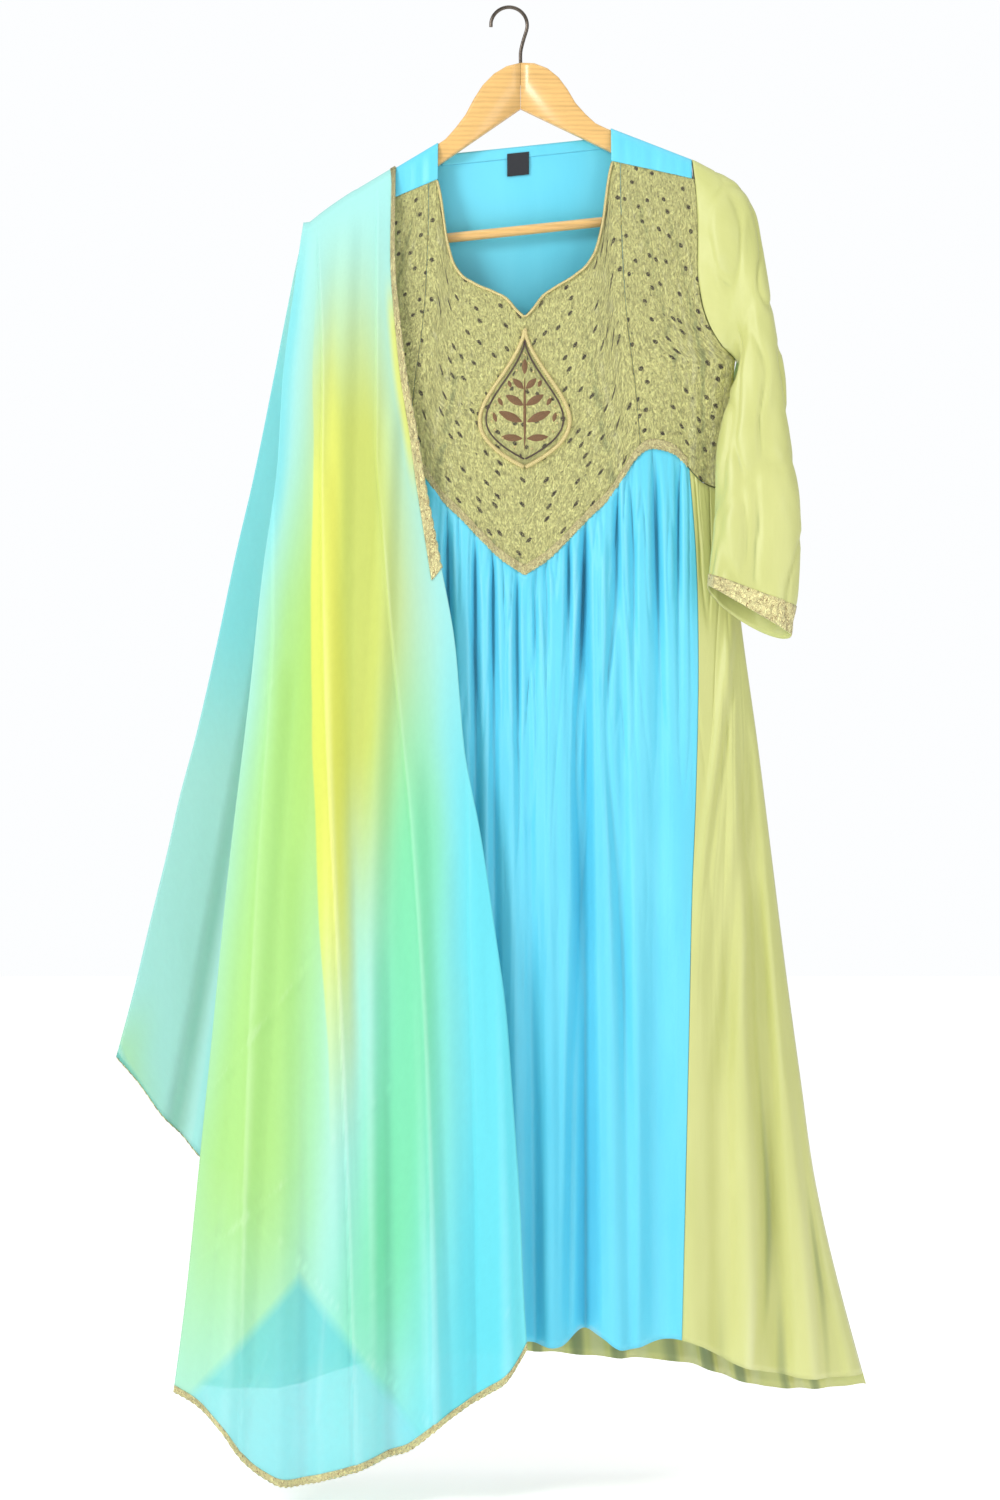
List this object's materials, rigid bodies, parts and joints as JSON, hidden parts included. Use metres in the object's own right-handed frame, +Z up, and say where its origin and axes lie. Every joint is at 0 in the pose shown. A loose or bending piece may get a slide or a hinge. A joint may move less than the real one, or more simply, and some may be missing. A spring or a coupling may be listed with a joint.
{
  "type": "kurta set on a hanger",
  "caption": "Long flared kurta with a pointed bodice, gathered front and elbow-length sleeves, a sheer dupatta over its shoulder, hung on a wooden hanger",
  "frame": {"origin": "inside top of the hook, where a rail carries it", "axes": "+Z up, -Y the garment's front, +X the wearer's left"},
  "size_m": [0.832, 0.2424, 1.6036],
  "materials": {
    "blue_satin": "soft satin",
    "green_satin": "soft satin",
    "bodice_print": "textured, dull",
    "lace": "braided, dull",
    "chiffon": "sheer",
    "wood": "lacquered",
    "steel": "dark plated",
    "label_cloth": "woven"
  },
  "bodies": {
    "root": {"bodice_front_centre": "bodice_print", "bodice_front_left": "bodice_print", "bodice_front_right": "bodice_print", "bodice_back": "blue_satin", "yoke_left": "blue_satin", "yoke_right": "blue_satin", "skirt_front_centre": "blue_satin", "skirt_front_left": "green_satin", "skirt_front_right": "green_satin", "skirt_back": "green_satin", "sleeve_left": "green_satin", "sleeve_right": "green_satin", "cuff_lace_left": "lace", "cuff_lace_right": "lace", "bodice_hem_lace": "lace", "neck_piping": "lace", "motif": "bodice_print", "motif_braid": "lace", "back_neck_facing": "blue_satin", "label": "label_cloth", "dupatta_front": "chiffon", "dupatta_back": "chiffon", "dupatta_lace_side": "lace", "dupatta_lace_front": "lace", "dupatta_lace_back": "lace", "hanger_arm_left": "wood", "hanger_arm_right": "wood", "hanger_bar": "wood", "hanger_hook": "steel"}
  },
  "joints": []
}
